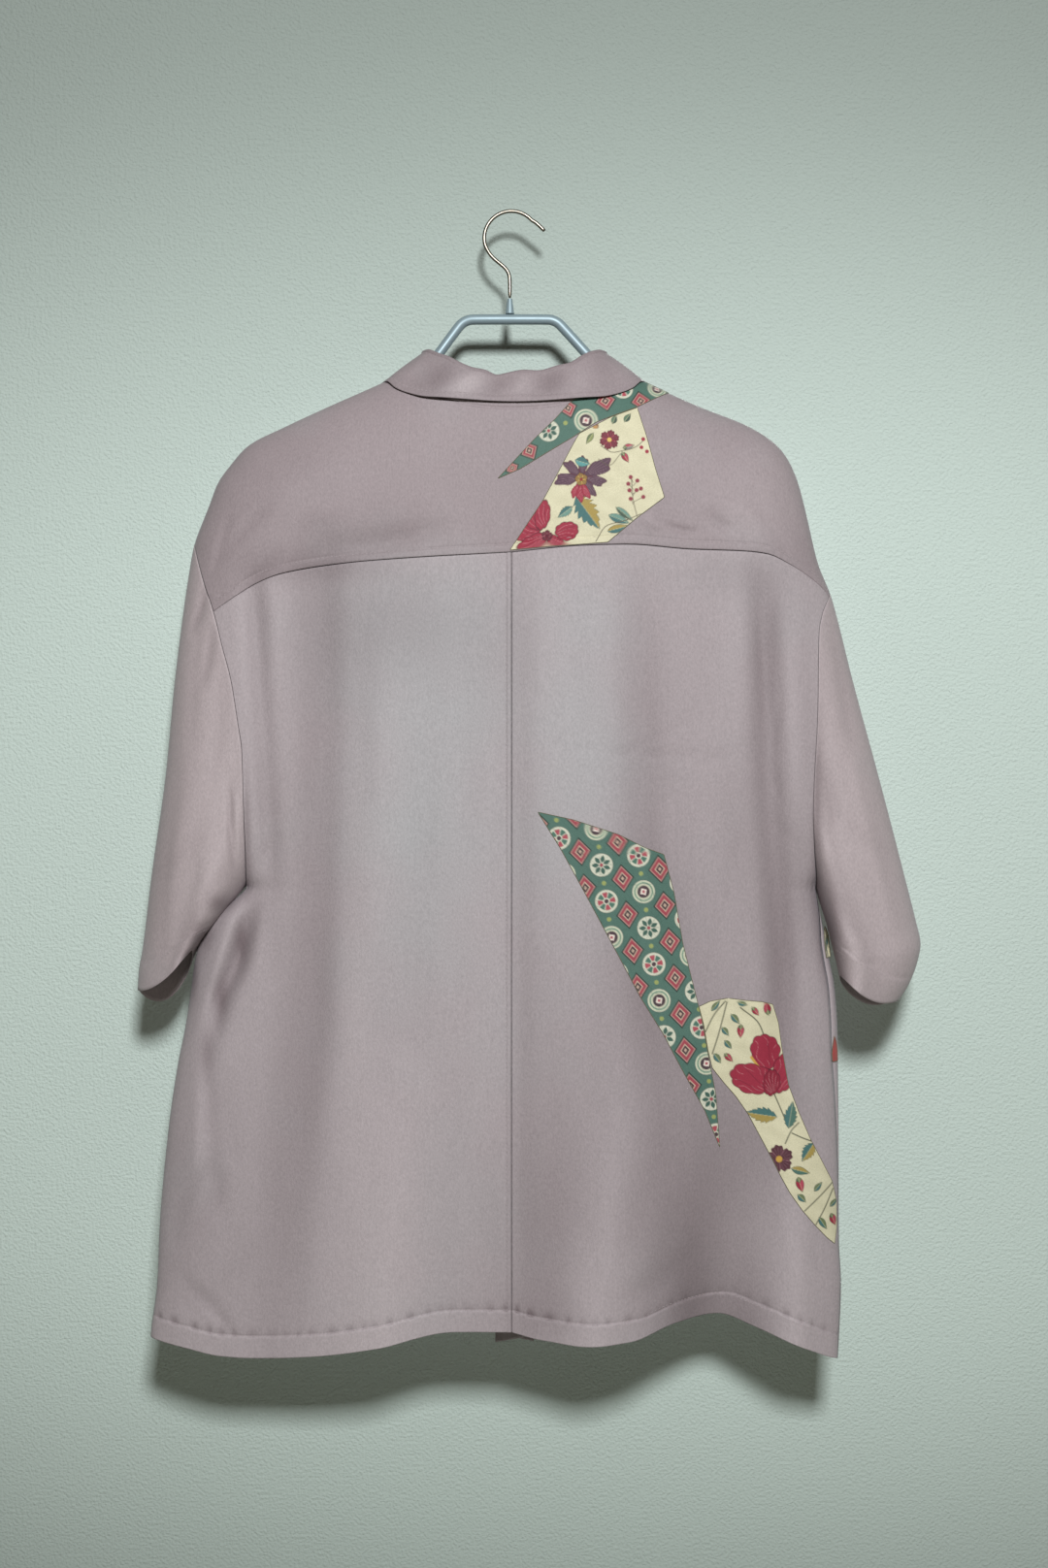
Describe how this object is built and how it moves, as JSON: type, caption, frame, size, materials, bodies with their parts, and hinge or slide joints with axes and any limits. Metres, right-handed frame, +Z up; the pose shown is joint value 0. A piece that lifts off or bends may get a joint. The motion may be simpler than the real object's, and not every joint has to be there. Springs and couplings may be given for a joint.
{
  "type": "hawaiian shirt on a hanger",
  "caption": "Short-sleeved open-collar shirt of plain silk, hanging with its back to the viewer on a bent tube hanger with a wire hook.",
  "frame": {"origin": "inside the top of the hanger's hook, where a nail or rail holds it", "axes": "+Z up, -Y the way the shirt's back faces, +X to the wearer's right; the hanger lies in the plane y = 0"},
  "size_m": [0.6056, 0.0764, 0.8905],
  "materials": {
    "silk": "dull dusty mauve silk crepe",
    "button": "shell-like",
    "tube": "satin silver",
    "wire": "nickel"
  },
  "bodies": {
    "root": {"back_left": "silk", "back_right": "silk", "back_yoke": "silk", "front_left": "silk", "front_right": "silk", "lapel_left": "silk", "lapel_right": "silk", "collar": "silk", "sleeve_left": "silk", "sleeve_right": "silk", "button_1": "button", "button_2": "button", "button_3": "button", "button_4": "button", "button_5": "button", "hanger_tube": "tube", "hook_socket": "tube", "hanger_hook": "wire"}
  },
  "joints": []
}
